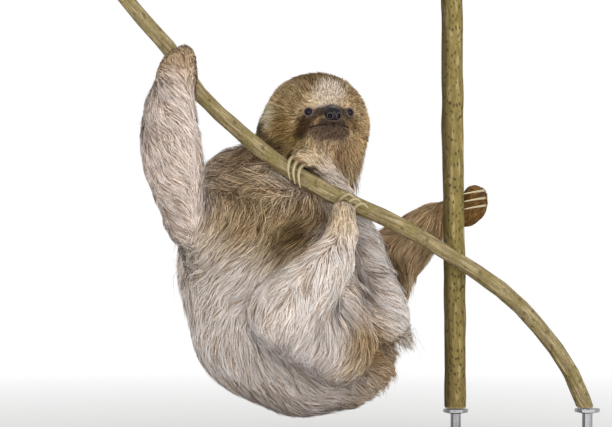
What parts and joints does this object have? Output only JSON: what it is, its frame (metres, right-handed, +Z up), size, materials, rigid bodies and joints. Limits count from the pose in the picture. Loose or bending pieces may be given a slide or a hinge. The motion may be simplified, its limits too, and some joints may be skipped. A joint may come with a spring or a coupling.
{
  "type": "three-toed sloth",
  "caption": "Life-size three-toed sloth clinging to a slanting vine and an upright stem, head turned to the side, on a flat display base with short rods.",
  "frame": {"origin": "on the underside of the base, below the middle of the animal's belly side, where the vertical plane of the vine meets the floor", "axes": "+Z up; +X along the base towards the low end of the vine; -Y is the side that the animal's right flank and its face look to"},
  "size_m": [0.4788, 0.24, 0.4471],
  "materials": {
    "coat_face": "short soft fur: cream brow, brown crown, golden cheeks, dark brown stripe at each eye, grey chin",
    "coat_body": "long coarse fur, pale cream tips over brown and grey roots",
    "coat_limb": "long coarse cream fur with brownish grey streaks",
    "eye": "wet dark brown eye",
    "nose": "moist dark grey skin",
    "claw": "pale horn, a little glossy, darker at the point",
    "bark_vine": "smooth olive tan bark with small scars",
    "bark_post": "rough yellow tan bark with dark flecks",
    "stand_wood": "satin dark grey painted wood",
    "stand_steel": "brushed steel"
  },
  "bodies": {
    "root": {"head": "coat_face", "neck": "coat_body", "trunk": "coat_body", "tail": "coat_body", "upper_arm_left": "coat_limb", "forearm_left": "coat_limb", "hand_left": "coat_limb", "upper_arm_right": "coat_limb", "forearm_right": "coat_limb", "hand_right": "coat_limb", "thigh_right": "coat_limb", "shank_right": "coat_limb", "foot_right": "coat_limb", "thigh_left": "coat_limb", "shank_left": "coat_limb", "foot_left": "coat_limb", "eye_right": "eye", "eye_left": "eye", "nose_pad": "nose", "claw_hand_right_1": "claw", "claw_hand_right_2": "claw", "claw_hand_right_3": "claw", "claw_hand_left_1": "claw", "claw_hand_left_2": "claw", "claw_hand_left_3": "claw", "claw_foot_right_1": "claw", "claw_foot_right_2": "claw", "claw_foot_right_3": "claw", "claw_foot_left_1": "claw", "claw_foot_left_2": "claw", "claw_foot_left_3": "claw", "perch_vine": "bark_vine", "perch_post": "bark_post", "stand_base": "stand_wood", "stand_rod_vine": "stand_steel", "stand_rod_post": "stand_steel"}
  },
  "joints": []
}
